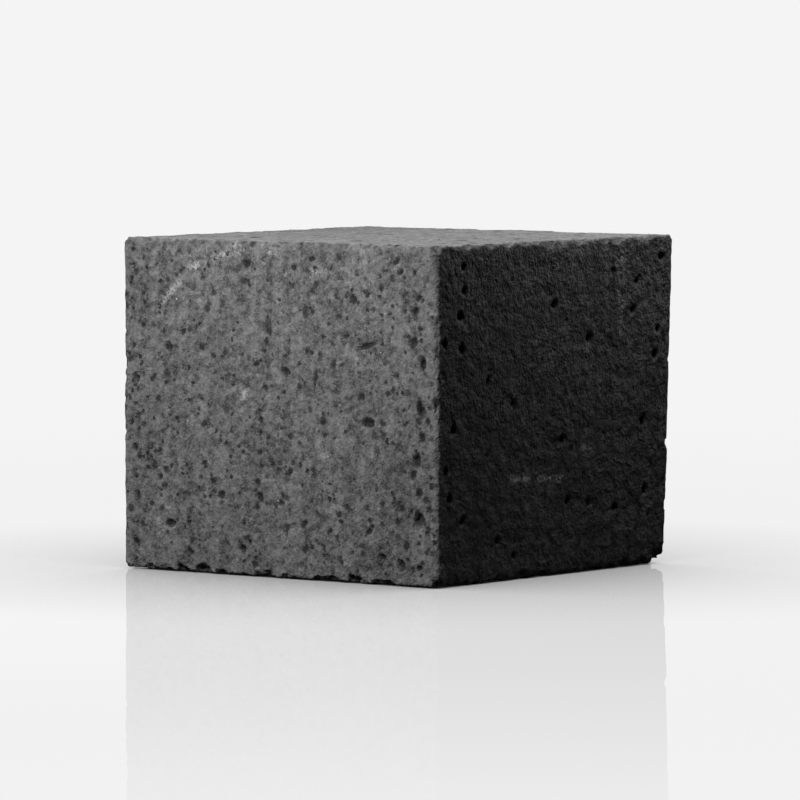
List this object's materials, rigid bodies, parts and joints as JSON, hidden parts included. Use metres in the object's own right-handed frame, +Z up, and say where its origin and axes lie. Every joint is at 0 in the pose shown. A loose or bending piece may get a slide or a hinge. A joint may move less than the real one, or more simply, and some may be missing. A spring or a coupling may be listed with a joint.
{
  "type": "charcoal briquette",
  "caption": "Square block of pressed charcoal with crumbled edges and open pores, to be stacked, lit and burnt as fuel.",
  "frame": {"origin": "middle of the bottom face, which is the lower of the blade's two cuts and stands on the surface", "axes": "+Z up along the squeeze, from the bottom cut to the top cut; -Y and +X are the two side faces that the picture shows, on its left and on its right"},
  "size_m": [0.025, 0.025, 0.021],
  "materials": {
    "charcoal": "matte"
  },
  "bodies": {
    "root": {"briquette": "charcoal"}
  },
  "joints": []
}
